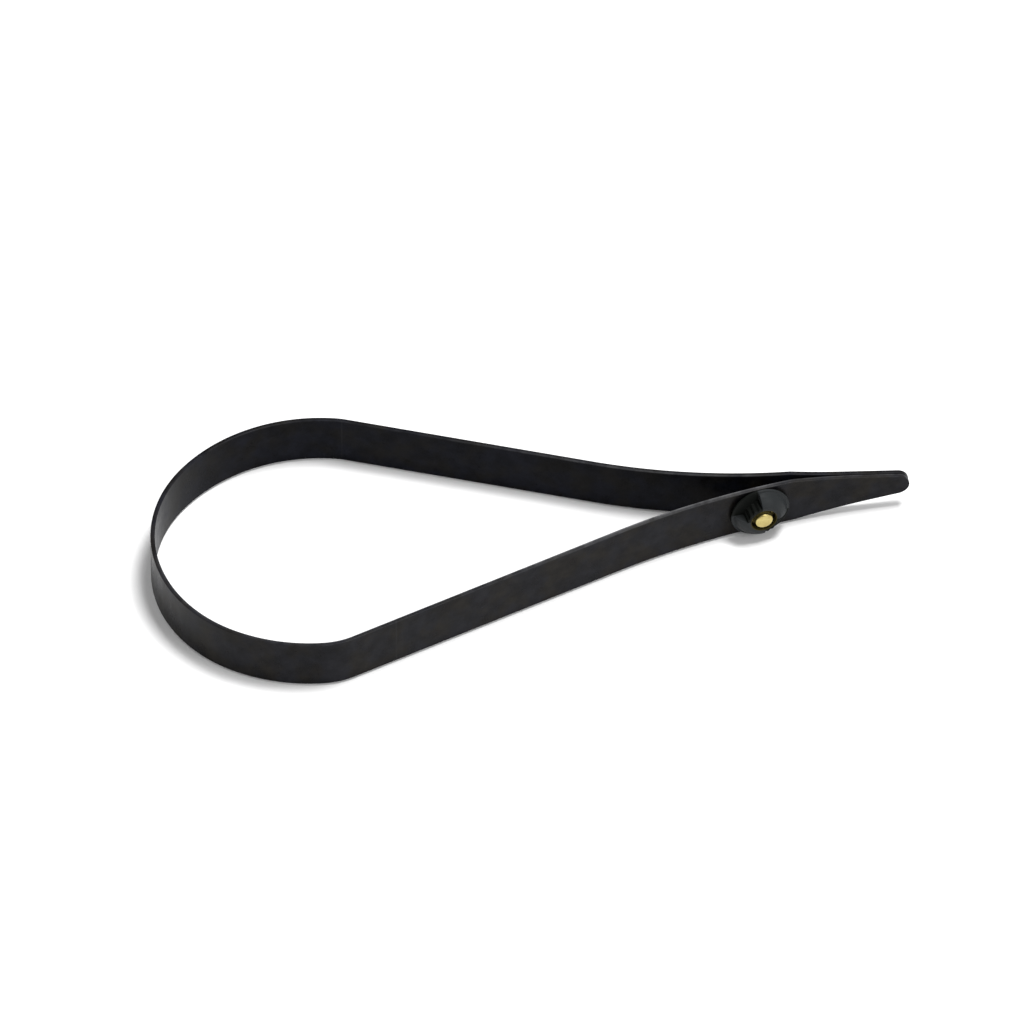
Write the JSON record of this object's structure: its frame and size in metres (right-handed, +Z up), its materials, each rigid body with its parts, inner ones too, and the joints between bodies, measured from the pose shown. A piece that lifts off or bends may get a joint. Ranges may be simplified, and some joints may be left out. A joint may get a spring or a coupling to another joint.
{
  "type": "saxophone ligature",
  "caption": "Spring band ligature: a black strip bent to a teardrop loop, drawn closed round a mouthpiece by a brass clamp screw and a lobed thumb nut.",
  "frame": {"origin": "under the middle of the bounding box, at the level of the thumb nut's lowest point", "axes": "+X along the tail, away from the hoop; +Z up, across the band's width; the thumb nut is on the -Y side"},
  "size_m": [0.0846, 0.034, 0.0067],
  "materials": {
    "band": "semi-gloss black over thin spring steel",
    "nut": "semi-gloss black",
    "washer": "matte black",
    "screw": "plain turned brass"
  },
  "bodies": {
    "rear_half": {"band_rear": "band", "clamp_screw": "screw"},
    "front_leg": {"band_front_leg": "band"},
    "front_tail": {"band_front_tail": "band"},
    "nut_carrier": {"nut_washer": "washer"},
    "nut": {"thumb_nut": "nut", "nut_bush": "screw"}
  },
  "joints": [
    {"name": "nut_travel", "type": "slide", "parent": "rear_half", "child": "nut_carrier", "axis": [0.1412, -0.99, 0], "range_m": [-0.0004, 0]},
    {"name": "nut_spin", "type": "hinge", "parent": "nut_carrier", "child": "nut", "pos_m": [0.02523, -0.00171, 0.00337], "axis": [0.1412, -0.99, 0], "range_deg": [-360, 0]},
    {"name": "leg_close", "type": "hinge", "parent": "rear_half", "child": "front_leg", "pos_m": [-0.04208, -0.00016, 0.00337], "axis": [0, 0, 1], "range_deg": [0, 0.35]},
    {"name": "tail_flex", "type": "hinge", "parent": "front_leg", "child": "front_tail", "pos_m": [0.02913, -0.00124, 0.00337], "axis": [0, 0, 1], "range_deg": [-4.7, 0]}
  ],
  "couplings": [
    {"joint": "nut_spin", "follows": "nut_travel", "rad_per_m": 15708},
    {"joint": "leg_close", "follows": "nut_travel", "rad_per_m": -15.05},
    {"joint": "tail_flex", "follows": "nut_travel", "rad_per_m": 201}
  ]
}
